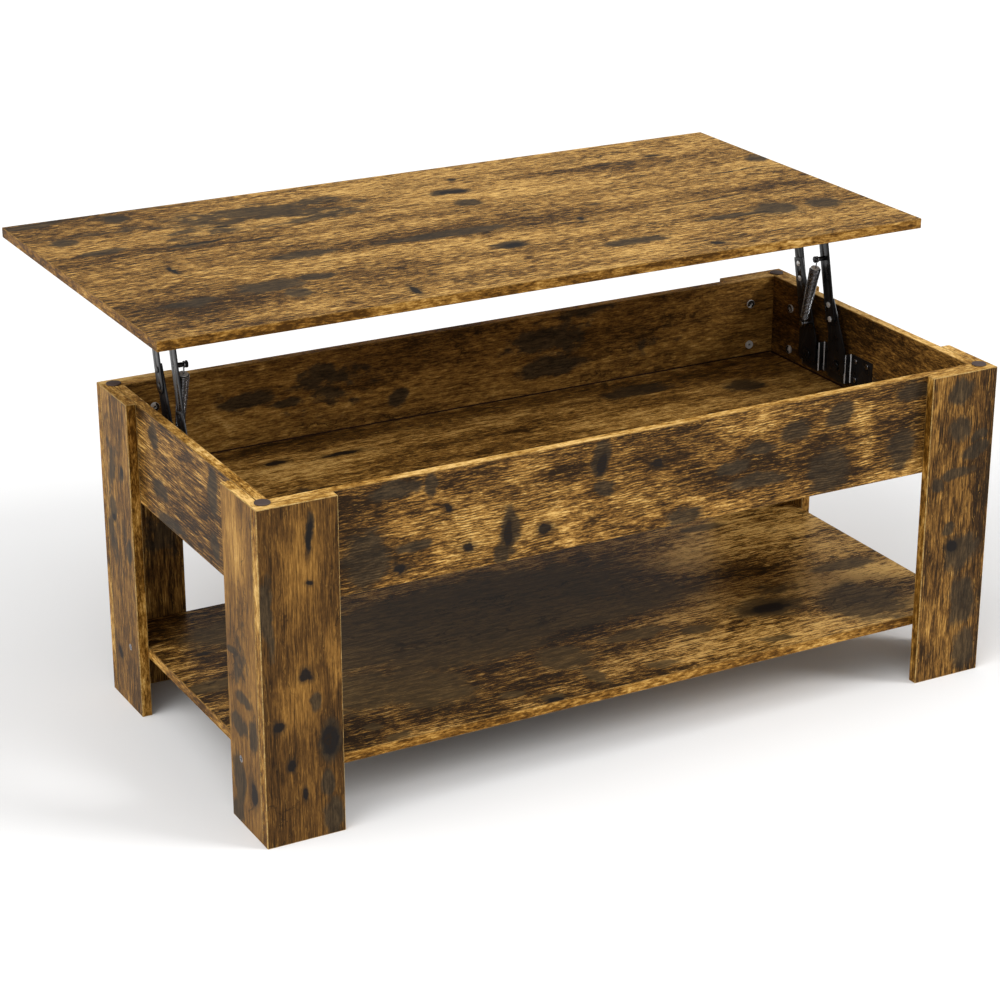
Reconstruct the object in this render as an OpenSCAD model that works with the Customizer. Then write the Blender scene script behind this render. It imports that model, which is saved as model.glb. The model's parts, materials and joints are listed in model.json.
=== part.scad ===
// Lift top coffee table: a storage box on four corner legs, a lower shelf, and a top that
// swings up and towards the user on two pairs of parallel steel arms.
// Origin: on the floor, under the middle of the storage box. +X along the table, +Y towards
// the side the top moves to, +Z up. The top is drawn raised, resting on the arms' stops.

/* [Boards] */
// Thickness of every board
board = 15; // [12:1:18]
// Length of the top along X
top_l = 1205; // [1150:5:1300]
// Depth of the top along Y
top_d = 603; // [560:1:640]
// Length over the outside of the legs
frame_l = 1146; // [1100:2:1200]
// Depth over the outside of the legs
frame_d = 550; // [520:2:590]
// Height of the legs and of the box's rim
frame_h = 472; // [420:1:480]
// Width of each face of a leg
leg_w = 112; // [90:1:130]
// Height of the boards around the storage box
rail_h = 146; // [140:1:160]
// How far the box floor's underside sits above the rails' lower edges
floor_recess = 6; // [2:1:10]
// Height of the lower shelf's upper face
shelf_z = 104; // [60:1:130]

/* [Lift mechanism] */
// Distance between the two pivots of an arm
arm_l = 222; // [215:1:230]
// Angle of the raised arms above the horizontal, leaning towards +Y
arm_raised = 77; // [74:0.5:80]
// Turn of the arms from raised to closed
arm_fold = 82.6; // [80:0.1:84]
// Y of the front arms' lower pivots
front_pivot_y = 52; // [45:1:60]
// Distance between the front and the rear arms' pivots
pivot_gap = 69; // [67:1:75]
// Depth of the upper pivots below the top
pivot_drop = 14; // [13:0.5:16]
// Width of an arm's strip
strip_w = 22; // [18:1:22]
// Thickness of the steel of the arms' strips
strip_t = 2.2; // [1.8:0.1:2.2]
// Thickness of the steel of the arms' lower plates
plate_t = 2; // [1.5:0.1:2]
// Height of the base bracket
bracket_h = 46; // [44:1:50]
// Distance of the base bracket's bosses from the end panel
boss_depth = 12; // [11.8:0.1:12.4]

/* [Springs] */
// Outside diameter of a spring's wide, upper end
spring_d = 18; // [14:0.5:19]
// Outside diameter of a spring's narrow, lower end
spring_end_d = 13; // [11:0.5:14]
// Diameter of the spring wire
spring_wire = 2.2; // [1.8:0.1:2.4]

/* [Fittings] */
// Diameter of the bumper pads on the rim
pad_d = 21; // [16:1:24]
// Thickness of the bumper pads
pad_t = 2; // [1.5:0.5:2.5]
// Diameter of the wooden dowels
dowel_d = 8; // [6:1:8]
// Length of the wooden dowels
dowel_l = 30; // [26:1:32]
// Clearance around a fastener in its hole
fit_gap = 0.05; // [0.05:0.01:0.1]
// Radial clearance around a pivot pin
pivot_gap_r = 0.08; // [0.05:0.01:0.1]

/* [Hidden] */
$fn = 48;
SIDES = ["left", "right"];

// Box and legs
half_l = frame_l / 2;
half_d = frame_d / 2;
box_x = half_l - board;          // outer face of an end panel
box_y = half_d - board;          // outer face of a rail
in_x = box_x - board;            // inner face of an end panel
in_y = box_y - board;            // inner face of a rail
rail_z = frame_h - rail_h;
floor_z = rail_z + floor_recess;
cut = 1;                         // how far a cut starts outside the face that it opens

// Bolts that hold the legs to the box
bolt_d = 6;
bolt_head_d = 13;
bolt_head_t = 3;
bolt_reach = 9;                  // how far a bolt goes into the leg board
bolt_key = 4;                    // hexagon across the flats
bolt_key_depth = 2;
bolt_rail_x = 500;
bolt_panel_y = 194;
bolt_rise = 33.5;                // from the rail's middle height
insert_d = 9;
insert_l = 10;

// Screws that hold the shelf
shelf_screw_y = 197;
shelf_screw_z = shelf_z - board / 2;
shelf_screw_d = 6.4;
shelf_screw_l = 48;
shelf_screw_head_d = 10;
shelf_screw_head_t = 3.5;

// Cam fittings that hold the box floor
cam_d = 14.8;
cam_h = 12;
cam_edge = 34;                   // from the board's edge to the cam's middle
cam_bolt_d = 6.5;
cam_bolt_grip = 11;              // length inside the rail
cam_slot_w = 1.6;
cam_slot_l = 9;
cam_slot_depth = 3;
cam_rail_x = [-350, 0, 350];

// Dowels
dowel_in_face = 10;              // depth into the face of the board that is drilled across
dowel_end = 30;                  // from a rail's edge to its dowel
leg_dowel_end = 60;              // from a leg's end to its first dowel
corner_dowel_z = [rail_z + dowel_end, frame_h - dowel_end];
leg_dowel_z = [leg_dowel_end, frame_h / 2, frame_h - leg_dowel_end];

// Rim pads, measured in from the outer faces of the end panels and the rails
pad_x = box_x - 3;
pad_y = box_y - 5;

// Top, closed and raised
rest_gap = 0.2;                  // left between the closed top and the pads
closed_under = frame_h + pad_t + rest_gap;
arm_closed = arm_raised + arm_fold;
lift_rise = arm_l * (sin(arm_raised) - sin(arm_closed));
lift_shift = arm_l * (cos(arm_raised) - cos(arm_closed));
top_under = closed_under + lift_rise;

// Pivots
pivot_z = closed_under - pivot_drop - arm_l * sin(arm_closed);
rear_pivot_y = front_pivot_y + pivot_gap;
upper_dy = arm_l * cos(arm_raised);
upper_z = pivot_z + arm_l * sin(arm_raised);
pivot_pin_d = 8;
pivot_play = 0.2;                // between a pivot's head and the steel that turns
pivot_tail_d = 12;               // riveted end behind the base bracket
pivot_spacer_d = 14;
lower_head_d = 16;
lower_head_t = 1.5;
upper_head_d = 13;
upper_head_t = 1.4;

// Layers of the mechanism, as distances inward from the end panel's inner face
steel_t = 1.5;
slide_gap = 0.3;                 // between steel parts that pass each other
layer_boss = boss_depth;
layer_front_plate = layer_boss + slide_gap;
layer_front_strip = layer_front_plate + plate_t;
layer_rear_strip = layer_front_strip + slide_gap;
layer_rear_plate = layer_rear_strip + strip_t;
layer_web = layer_front_strip - slide_gap;
web_t = 2;

// Base bracket, in Y from the front and the rear lower pivot
boss_half = 22;
bracket_ends = [front_pivot_y - 76, rear_pivot_y + 40];
bracket_screw_y = [front_pivot_y - 63.5, front_pivot_y - 35, rear_pivot_y + 32];
bracket_screw_rise = 14.6;
screw_d = 3.8;
screw_l = 12;
screw_head_d = 8;
screw_head_t = 1.8;
stop_gap = 0.3;
stop_t = 2;
stop_low = 13;                   // stop tab's lower edge above the pivot
stop_h = 10;
stop_reach = 3.2;

// Arms, measured along the arm from its lower pivot
plate_low = 12;
plate_corner = 8;
plate_square_low = 30;           // where the plate's front edge starts to taper
plate_square_high = 46;          // where its rear edge meets the strip's edge
front_rivets = [72, 94];
rear_rivets = [117, 140];
plate_over = 9;                  // plate beyond its last rivet
rivet_d = 5;
rivet_head_d = 9;
rivet_head_t = 1.2;

// Spring pins and springs
spring_layer = 29;               // distance of the spring's axis from the end panel
upper_pin_along = 165;
upper_pin_off = 1.5;
lower_pin_dy = -2;
lower_pin_dz = 51;
spring_pin_d = 7;
spring_neck_d = 5;
spring_neck_l = 5;
spring_pin_head_d = 10;
spring_pin_head_t = 2.5;
hook_play = 0.3;                 // between a hook and the pin's neck
hook_r = spring_neck_d / 2 + hook_play + spring_wire / 2;
coil_from = 8;                   // coil's lower end above the lower pin
coil_to = 15;                    // coil's upper end below the upper pin
hook_gap = 0.1;                  // between the coil and its lower hook
coil_bore = 0.5;                 // bore of the coil as a share of its diameter

// Top bracket, in Y from the front and the rear upper pivot
web_end = 18;
web_half_h = pivot_drop - web_t;
flange_front = 42;
flange_rear = 60;
flange_w = 28;
top_screw_y = [-34, 4, 30, 52];
top_screw_inset = 13;
top_screw_l = 11;

// ---------- helpers ----------

// A board from one corner to the opposite one
module block(low, high) {
    translate(low)
        cube(high - low);
}

// A cylinder from a point along +X, +Y or +Z
module rod_x(at, d, l) {
    translate(at)
        rotate([0, 90, 0])
            cylinder(d = d, h = l);
}

module rod_y(at, d, l) {
    translate(at)
        rotate([-90, 0, 0])
            cylinder(d = d, h = l);
}

module rod_z(at, d, l) {
    translate(at)
        cylinder(d = d, h = l);
}

// Children at all four corners, from the one at +X, +Y
module at_corners() {
    for (sx = [0, 1])
        for (sy = [0, 1])
            mirror([sx, 0, 0])
                mirror([0, sy, 0])
                    children();
}

// Children at both ends of the table, from the one at +X
module at_ends() {
    for (sx = [0, 1])
        mirror([sx, 0, 0])
            children();
}

// Children on the side called for, from the one at +X
module on_side(side) {
    mirror([side == "left" ? 1 : 0, 0, 0])
        children();
}

// A 2-D outline in Y and Z as a plate whose outer face is this far inside the end panel
module layer(depth, t) {
    translate([in_x - depth - t, 0, 0])
        rotate([90, 0, 90])
            linear_extrude(height = t)
                children();
}

// A pin along X whose outer end is this far inside the end panel
module layer_pin(depth, l, d, y = 0, z = 0) {
    rod_x([in_x - depth - l, y, z], d, l);
}

// Turns children drawn upright from a pivot at the origin to the raised arm's place
module on_arm(pivot_y) {
    translate([0, pivot_y, pivot_z])
        rotate([arm_raised - 90, 0, 0])
            children();
}

// ---------- holes and fasteners of the box and legs, one per corner at +X, +Y ----------

module leg_bolt_shafts(extra) {
    for (s = [-1, 1])
        let (z = rail_z + rail_h / 2 + s * bolt_rise) {
            rod_y([bolt_rail_x, in_y - extra, z], bolt_d + 2 * extra, board + bolt_reach + extra);
            rod_x([in_x - extra, bolt_panel_y, z], bolt_d + 2 * extra, board + bolt_reach + extra);
        }
}

module insert_bodies(extra) {
    for (s = [-1, 1])
        let (z = rail_z + rail_h / 2 + s * bolt_rise) {
            rod_y([bolt_rail_x, box_y, z], insert_d + 2 * extra, insert_l);
            rod_x([box_x, bolt_panel_y, z], insert_d + 2 * extra, insert_l);
        }
}

module bolt_head() {
    difference() {
        cylinder(d = bolt_head_d, h = bolt_head_t);
        translate([0, 0, bolt_head_t - bolt_key_depth])
            cylinder(d = bolt_key / cos(30), h = bolt_key_depth + cut, $fn = 6);
    }
}

module corner_dowel_pins(extra) {
    for (z = corner_dowel_z)
        rod_y([in_x + board / 2, in_y + dowel_in_face - dowel_l, z], dowel_d + 2 * extra, dowel_l);
}

module leg_dowel_pins(extra) {
    for (z = leg_dowel_z)
        rod_y([half_l - board / 2, box_y + dowel_in_face - dowel_l, z], dowel_d + 2 * extra, dowel_l);
}

module shelf_screw(extra) {
    rod_x([half_l - shelf_screw_l, shelf_screw_y, shelf_screw_z], shelf_screw_d + 2 * extra, shelf_screw_l);
    rod_x([half_l - shelf_screw_head_t, shelf_screw_y, shelf_screw_z],
          shelf_screw_head_d + 2 * extra, shelf_screw_head_t + extra);
}

// Cam bolts that reach from the rails and end panels into the box floor
module floor_cam_bolt_runs(extra) {
    for (sy = [0, 1])
        mirror([0, sy, 0])
            for (x = cam_rail_x)
                rod_y([x, in_y - cam_edge, floor_z + board / 2], cam_bolt_d + 2 * extra,
                      cam_edge + cam_bolt_grip);
    at_ends()
        rod_x([in_x - cam_edge, 0, floor_z + board / 2], cam_bolt_d + 2 * extra,
              cam_edge + cam_bolt_grip);
}

module at_floor_cams() {
    for (sy = [0, 1])
        mirror([0, sy, 0])
            for (x = cam_rail_x)
                translate([x, in_y - cam_edge, floor_z])
                    children();
    at_ends()
        translate([in_x - cam_edge, 0, floor_z])
            rotate([0, 0, -90])
                children();
}

// Screws into the end panels, at the base brackets
module bracket_screw_shafts(extra) {
    for (y = bracket_screw_y)
        for (s = [-1, 1])
            layer_pin(-screw_l + steel_t, screw_l, screw_d + 2 * extra, y,
                      pivot_z + s * bracket_screw_rise);
}

// Screws into the top, at the top brackets
module top_screw_shafts(extra) {
    for (y = top_screw_y)
        rod_z([in_x - layer_web - top_screw_inset, front_pivot_y + upper_dy + y, top_under - web_t],
              screw_d + 2 * extra, top_screw_l);
}

// ---------- boards ----------

module top_panel() {
    color("peru")
        difference() {
            block([-top_l / 2, lift_shift - top_d / 2, top_under],
                  [top_l / 2, lift_shift + top_d / 2, top_under + board]);
            at_ends()
                top_screw_shafts(fit_gap);
        }
}

// The rail at +Y
module rail() {
    difference() {
        block([-box_x, in_y, rail_z], [box_x, box_y, frame_h]);
        at_corners() {
            leg_bolt_shafts(fit_gap);
            corner_dowel_pins(fit_gap);
        }
        floor_cam_bolt_runs(fit_gap);
    }
}

module front_rail() {
    color("saddlebrown")
        mirror([0, 1, 0])
            rail();
}

module back_rail() {
    color("saddlebrown")
        rail();
}

module end_panel(side) {
    color("sienna")
        on_side(side)
            difference() {
                block([in_x, -in_y, rail_z], [box_x, in_y, frame_h]);
                at_corners() {
                    leg_bolt_shafts(fit_gap);
                    corner_dowel_pins(fit_gap);
                }
                floor_cam_bolt_runs(fit_gap);
                bracket_screw_shafts(fit_gap);
            }
}

module box_floor() {
    color("peru")
        difference() {
            block([-in_x, -in_y, floor_z], [in_x, in_y, floor_z + board]);
            floor_cam_bolt_runs(fit_gap);
            at_floor_cams()
                translate([0, 0, -cut])
                    cylinder(d = cam_d + 2 * fit_gap, h = cam_h + cut);
        }
}

module lower_shelf() {
    color("peru")
        difference() {
            block([-box_x, -box_y, shelf_z - board], [box_x, box_y, shelf_z]);
            at_corners()
                shelf_screw(fit_gap);
        }
}

// The leg board that faces front or back, at +X, +Y
module leg_face() {
    difference() {
        block([half_l - leg_w, box_y, 0], [half_l, half_d, frame_h]);
        insert_bodies(fit_gap);
        leg_dowel_pins(fit_gap);
    }
}

// The leg board that faces the table's end, at +X, +Y
module leg_side() {
    difference() {
        block([box_x, half_d - leg_w, 0], [half_l, box_y, frame_h]);
        insert_bodies(fit_gap);
        leg_dowel_pins(fit_gap);
        shelf_screw(fit_gap);
    }
}

module leg(board_name, left, front) {
    color("sienna")
        mirror([left ? 1 : 0, 0, 0])
            mirror([0, front ? 1 : 0, 0])
                if (board_name == "face")
                    leg_face();
                else
                    leg_side();
}

// ---------- fittings of the box and legs ----------

module rim_pads() {
    color("rosybrown")
        at_corners()
            rod_z([pad_x, pad_y, frame_h], pad_d, pad_t);
}

module leg_bolts() {
    color("silver")
        at_corners() {
            leg_bolt_shafts(0);
            for (s = [-1, 1])
                let (z = rail_z + rail_h / 2 + s * bolt_rise) {
                    translate([bolt_rail_x, in_y, z])
                        rotate([90, 0, 0])
                            bolt_head();
                    translate([in_x, bolt_panel_y, z])
                        rotate([0, -90, 0])
                            bolt_head();
                }
        }
}

module leg_inserts() {
    color("goldenrod")
        at_corners()
            difference() {
                insert_bodies(0);
                leg_bolt_shafts(fit_gap);
            }
}

module shelf_screws() {
    color("silver")
        at_corners()
            difference() {
                shelf_screw(0);
                rod_x([half_l - bolt_key_depth, shelf_screw_y, shelf_screw_z],
                      bolt_key, bolt_key_depth + cut);
            }
}

module floor_cams() {
    color("silver")
        difference() {
            at_floor_cams()
                difference() {
                    cylinder(d = cam_d, h = cam_h);
                    for (turn = [0, 90])
                        rotate([0, 0, turn])
                            translate([-cam_slot_l / 2, -cam_slot_w / 2, -cut])
                                cube([cam_slot_l, cam_slot_w, cam_slot_depth + cut]);
                }
            floor_cam_bolt_runs(fit_gap);
        }
}

module floor_cam_bolts() {
    color("silver")
        floor_cam_bolt_runs(0);
}

module corner_dowels() {
    color("burlywood")
        at_corners()
            corner_dowel_pins(0);
}

module leg_dowels() {
    color("burlywood")
        at_corners()
            leg_dowel_pins(0);
}

// ---------- lift mechanism, at +X ----------

// Outline of the bent base bracket, in depth from the end panel and in Y
module bracket_profile() {
    boss_edges = [front_pivot_y - boss_half, front_pivot_y + boss_half,
                  rear_pivot_y - boss_half, rear_pivot_y + boss_half];
    flats = [[bracket_ends[0], boss_edges[0] + steel_t],
             [boss_edges[1] - steel_t, boss_edges[2] + steel_t],
             [boss_edges[3] - steel_t, bracket_ends[1]]];
    for (f = flats)
        translate([0, f[0]])
            square([steel_t, f[1] - f[0]]);
    for (i = [0, 2]) {
        translate([layer_boss - steel_t, boss_edges[i]])
            square([steel_t, 2 * boss_half]);
        for (y = [boss_edges[i], boss_edges[i + 1] - steel_t])
            translate([0, y])
                square([layer_boss, steel_t]);
    }
}

module base_bracket(side) {
    stop_y = front_pivot_y + boss_half + stop_gap;
    stop_bottom = pivot_z + stop_low;
    stop_top = stop_bottom + stop_h;
    color("dimgray")
        on_side(side)
            difference() {
                union() {
                    translate([in_x, 0, pivot_z - bracket_h / 2])
                        mirror([1, 0, 0])
                            linear_extrude(height = bracket_h)
                                bracket_profile();
                    // stop that the raised front arm leans on
                    block([in_x - layer_boss, stop_y - stop_t, stop_bottom],
                          [in_x - layer_boss + steel_t, stop_y + stop_t, stop_top]);
                    block([in_x - layer_boss - stop_reach, stop_y, stop_bottom],
                          [in_x - layer_boss + steel_t, stop_y + stop_t, stop_top]);
                }
                bracket_screw_shafts(fit_gap);
                for (y = [front_pivot_y, rear_pivot_y])
                    layer_pin(0, layer_boss + cut, pivot_pin_d + 2 * fit_gap, y, pivot_z);
            }
}

module bracket_screws(side) {
    color("black")
        on_side(side) {
            bracket_screw_shafts(0);
            for (y = bracket_screw_y)
                for (s = [-1, 1])
                    layer_pin(steel_t, screw_head_t, screw_head_d, y, pivot_z + s * bracket_screw_rise);
        }
}

// Rivets that the arms turn on, fast in the base bracket
module lower_pivots(side) {
    tail = layer_boss - steel_t - lower_head_t;
    pivots = [[front_pivot_y, layer_front_plate + plate_t + pivot_play],
              [rear_pivot_y, layer_rear_plate + plate_t + pivot_play]];
    color("black")
        on_side(side) {
            for (p = pivots) {
                layer_pin(tail, p[1] - tail, pivot_pin_d, p[0], pivot_z);
                layer_pin(p[1], lower_head_t, lower_head_d, p[0], pivot_z);
                layer_pin(tail, lower_head_t, pivot_tail_d, p[0], pivot_z);
            }
            // spacer that carries the rear arm's plate clear of the front arm
            layer_pin(layer_boss, layer_rear_plate - pivot_play - layer_boss, pivot_spacer_d,
                      rear_pivot_y, pivot_z);
        }
}

// Outline of an arm's strip, upright, from its lower rivet to its upper pivot
module strip_outline(low) {
    difference() {
        union() {
            translate([-strip_w / 2, low])
                square([strip_w, arm_l - low]);
            for (z = [low, arm_l])
                translate([0, z])
                    circle(d = strip_w);
        }
        translate([0, arm_l])
            circle(d = pivot_pin_d + 2 * pivot_gap_r);
    }
}

module arm_strip(side, pivot_y, depth, rivets, pin_hole) {
    color("dimgray")
        on_side(side)
            on_arm(pivot_y)
                layer(depth, strip_t)
                    difference() {
                        strip_outline(rivets[0]);
                        for (z = rivets)
                            translate([0, z])
                                circle(d = rivet_d + 2 * fit_gap);
                        if (pin_hole)
                            translate([upper_pin_off, upper_pin_along])
                                circle(d = spring_neck_d + 2 * fit_gap);
                    }
}

module front_arm_strip(side) {
    arm_strip(side, front_pivot_y, layer_front_strip, front_rivets, true);
}

module rear_arm_strip(side) {
    arm_strip(side, rear_pivot_y, layer_rear_strip, rear_rivets, false);
}

// Outline of an arm's lower plate as it stands when raised, from its pivot
module plate_outline(last_rivet) {
    lean = 90 - arm_raised;
    end = last_rivet + plate_over;
    edge = strip_w / 2;
    difference() {
        union() {
            // foot with round lower corners
            translate([-boss_half, plate_corner - plate_low])
                square([2 * boss_half, plate_square_low + plate_low - plate_corner]);
            translate([plate_corner - boss_half, -plate_low])
                square([2 * (boss_half - plate_corner), plate_corner]);
            for (s = [-1, 1])
                translate([s * (boss_half - plate_corner), plate_corner - plate_low])
                    circle(r = plate_corner);
            // upper part that tapers to the strip
            polygon([
                [-boss_half, plate_square_low],
                [boss_half, plate_square_low],
                [boss_half, plate_square_high],
                [end * sin(lean) + edge * cos(lean), end * cos(lean) - edge * sin(lean)],
                [end * sin(lean) - edge * cos(lean), end * cos(lean) + edge * sin(lean)]
            ]);
        }
        circle(d = pivot_pin_d + 2 * pivot_gap_r);
    }
}

module rivet_holes(rivets) {
    for (z = rivets)
        rotate([0, 0, arm_raised - 90])
            translate([0, z])
                circle(d = rivet_d + 2 * fit_gap);
}

module front_arm_plate(side) {
    color("dimgray")
        on_side(side)
            translate([0, front_pivot_y, pivot_z])
                layer(layer_front_plate, plate_t)
                    difference() {
                        plate_outline(front_rivets[1]);
                        rivet_holes(front_rivets);
                    }
}

module rear_arm_plate(side) {
    color("dimgray")
        on_side(side)
            translate([0, rear_pivot_y, pivot_z])
                layer(layer_rear_plate, plate_t)
                    difference() {
                        plate_outline(rear_rivets[1]);
                        rivet_holes(rear_rivets);
                        translate([lower_pin_dy, lower_pin_dz])
                            circle(d = spring_neck_d + 2 * fit_gap);
                    }
}

// Rivets that join a strip and a plate lying from this depth to that
module arm_rivets(side, pivot_y, rivets, outer, inner) {
    color("silver")
        on_side(side)
            on_arm(pivot_y)
                for (z = rivets) {
                    layer_pin(outer, inner - outer, rivet_d, 0, z);
                    layer_pin(outer - rivet_head_t, rivet_head_t, rivet_head_d, 0, z);
                    layer_pin(inner, rivet_head_t, rivet_head_d, 0, z);
                }
}

// A pin that a spring hooks on, riveted through steel from this depth to that
module spring_pin(outer, inner) {
    neck_from = spring_layer - spring_neck_l / 2;
    layer_pin(outer, inner - outer, spring_neck_d);
    layer_pin(inner, neck_from - inner, spring_pin_d);
    layer_pin(neck_from, spring_neck_l, spring_neck_d);
    layer_pin(neck_from + spring_neck_l, spring_pin_head_t, spring_pin_head_d);
}

module upper_spring_pin(side) {
    color("black")
        on_side(side)
            on_arm(front_pivot_y)
                translate([0, upper_pin_off, upper_pin_along])
                    spring_pin(layer_front_strip, layer_front_strip + strip_t);
}

module lower_spring_pin(side) {
    color("black")
        on_side(side)
            translate([0, rear_pivot_y + lower_pin_dy, pivot_z + lower_pin_dz])
                spring_pin(layer_rear_plate, layer_rear_plate + plate_t);
}

// Places of the two spring pins in Y and Z, and the spring's length and slope between them
lean_y = cos(arm_raised);
lean_z = sin(arm_raised);
upper_pin_y = front_pivot_y + upper_pin_along * lean_y + upper_pin_off * lean_z;
upper_pin_z = pivot_z + upper_pin_along * lean_z - upper_pin_off * lean_y;
lower_pin_y = rear_pivot_y + lower_pin_dy;
lower_pin_z = pivot_z + lower_pin_dz;
spring_l = norm([upper_pin_y - lower_pin_y, upper_pin_z - lower_pin_z]);
spring_slope = atan2(upper_pin_z - lower_pin_z, upper_pin_y - lower_pin_y);

// Children drawn upright from the lower spring pin
module on_spring(side) {
    on_side(side)
        translate([in_x - spring_layer, lower_pin_y, lower_pin_z])
            rotate([spring_slope - 90, 0, 0])
                children();
}

// A hook's ring around a spring pin, and the straight wire that leaves it along +Z
module hook(wire_l) {
    rotate([0, 90, 0])
        rotate_extrude()
            translate([hook_r, 0])
                circle(d = spring_wire);
    translate([0, 0, hook_r])
        cylinder(d = spring_wire, h = wire_l - hook_r);
}

module spring(side) {
    coil_h = spring_l - coil_to - coil_from;
    color("black")
        on_spring(side) {
            translate([0, 0, coil_from])
                difference() {
                    cylinder(d1 = spring_end_d, d2 = spring_d, h = coil_h);
                    translate([0, 0, spring_wire])
                        cylinder(d1 = spring_end_d * coil_bore, d2 = spring_d * coil_bore,
                                 h = coil_h - 2 * spring_wire);
                }
            translate([0, 0, spring_l])
                mirror([0, 0, 1])
                    hook(coil_to);
        }
}

module spring_hook(side) {
    color("black")
        on_spring(side)
            hook(coil_from - hook_gap);
}

module top_bracket(side) {
    front_y = front_pivot_y + upper_dy;
    rear_y = rear_pivot_y + upper_dy;
    color("dimgray")
        on_side(side)
            difference() {
                union() {
                    // web that the arms hang from
                    layer(layer_web - web_t, web_t)
                        difference() {
                            union() {
                                for (y = [front_y, rear_y])
                                    translate([y, upper_z])
                                        circle(r = web_half_h);
                                translate([front_y, upper_z - web_half_h])
                                    square([pivot_gap, 2 * web_half_h]);
                                translate([front_y - web_end, upper_z])
                                    square([pivot_gap + 2 * web_end, pivot_drop]);
                            }
                            for (y = [front_y, rear_y])
                                translate([y, upper_z])
                                    circle(d = pivot_pin_d + 2 * fit_gap);
                        }
                    // flange under the top
                    block([in_x - layer_web - flange_w, front_y - flange_front, top_under - web_t],
                          [in_x - layer_web + web_t, rear_y + flange_rear, top_under]);
                }
                top_screw_shafts(fit_gap);
            }
}

module top_screws(side) {
    color("black")
        on_side(side) {
            top_screw_shafts(0);
            for (y = top_screw_y)
                rod_z([in_x - layer_web - top_screw_inset, front_pivot_y + upper_dy + y,
                       top_under - web_t - screw_head_t], screw_head_d, screw_head_t);
        }
}

// Rivets that carry the top bracket on the arms, fast in the bracket
module upper_pivots(side) {
    inner = layer_rear_strip + strip_t + pivot_play;
    outer = layer_web - web_t;
    color("black")
        on_side(side)
            for (y = [front_pivot_y, rear_pivot_y])
                translate([0, y + upper_dy, upper_z]) {
                    layer_pin(outer, inner - outer, pivot_pin_d);
                    layer_pin(outer - upper_head_t, upper_head_t, upper_head_d);
                    layer_pin(inner, upper_head_t, upper_head_d);
                }
}

top_panel();
front_rail();
back_rail();
end_panel("left");  // left_end_panel
end_panel("right");  // right_end_panel
box_floor();
lower_shelf();
leg("face", true, true);  // front_left_leg_face
leg("side", true, true);  // front_left_leg_side
leg("face", false, true);  // front_right_leg_face
leg("side", false, true);  // front_right_leg_side
leg("face", true, false);  // back_left_leg_face
leg("side", true, false);  // back_left_leg_side
leg("face", false, false);  // back_right_leg_face
leg("side", false, false);  // back_right_leg_side
rim_pads();
leg_bolts();
leg_inserts();
shelf_screws();
floor_cams();
floor_cam_bolts();
corner_dowels();
leg_dowels();
for (side = SIDES) {
    base_bracket(side);
    bracket_screws(side);
    lower_pivots(side);
    front_arm_strip(side);
    front_arm_plate(side);
    arm_rivets(side, front_pivot_y, front_rivets, layer_front_plate, layer_front_strip + strip_t);
    rear_arm_strip(side);
    rear_arm_plate(side);
    arm_rivets(side, rear_pivot_y, rear_rivets, layer_rear_strip, layer_rear_plate + plate_t);
    upper_spring_pin(side);
    lower_spring_pin(side);
    spring(side);
    spring_hook(side);
    top_bracket(side);
    top_screws(side);
    upper_pivots(side);
}
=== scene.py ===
import json
import math

import bmesh
import bpy
from mathutils import Matrix, Vector

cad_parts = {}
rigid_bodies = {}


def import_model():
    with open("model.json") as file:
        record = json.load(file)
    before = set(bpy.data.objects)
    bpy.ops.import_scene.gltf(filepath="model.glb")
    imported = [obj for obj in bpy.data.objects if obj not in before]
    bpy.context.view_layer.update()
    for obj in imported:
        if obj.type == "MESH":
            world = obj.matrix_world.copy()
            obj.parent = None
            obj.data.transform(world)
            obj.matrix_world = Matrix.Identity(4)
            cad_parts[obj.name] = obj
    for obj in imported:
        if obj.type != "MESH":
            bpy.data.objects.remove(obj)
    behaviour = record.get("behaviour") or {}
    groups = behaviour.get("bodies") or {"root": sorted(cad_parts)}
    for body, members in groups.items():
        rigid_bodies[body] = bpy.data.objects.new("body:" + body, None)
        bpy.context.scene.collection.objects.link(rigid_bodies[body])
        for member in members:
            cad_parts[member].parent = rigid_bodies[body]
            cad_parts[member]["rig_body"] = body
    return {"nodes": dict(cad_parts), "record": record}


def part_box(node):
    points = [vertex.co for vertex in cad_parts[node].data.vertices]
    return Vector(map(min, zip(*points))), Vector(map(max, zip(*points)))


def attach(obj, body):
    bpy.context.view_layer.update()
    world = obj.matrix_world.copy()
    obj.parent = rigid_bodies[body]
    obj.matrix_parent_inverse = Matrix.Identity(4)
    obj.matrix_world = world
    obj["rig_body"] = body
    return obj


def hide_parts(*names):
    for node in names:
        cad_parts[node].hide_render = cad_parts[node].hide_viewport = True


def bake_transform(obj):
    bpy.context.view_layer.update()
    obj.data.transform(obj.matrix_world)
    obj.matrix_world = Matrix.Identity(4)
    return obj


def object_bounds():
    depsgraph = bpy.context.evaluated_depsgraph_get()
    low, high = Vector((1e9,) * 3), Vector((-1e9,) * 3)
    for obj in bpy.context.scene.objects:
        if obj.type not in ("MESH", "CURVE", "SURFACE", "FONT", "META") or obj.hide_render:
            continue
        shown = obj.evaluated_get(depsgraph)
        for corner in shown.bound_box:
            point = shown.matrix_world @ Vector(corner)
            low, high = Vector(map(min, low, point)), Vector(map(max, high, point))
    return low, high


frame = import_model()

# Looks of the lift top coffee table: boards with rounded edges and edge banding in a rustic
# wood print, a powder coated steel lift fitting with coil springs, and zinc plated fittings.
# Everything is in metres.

CAD_LOW, CAD_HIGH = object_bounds()
SIDES = ("left", "right")
X, Y, Z = range(3)
UP = Vector((0, 0, 1))

# ---------- sizes ----------

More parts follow.
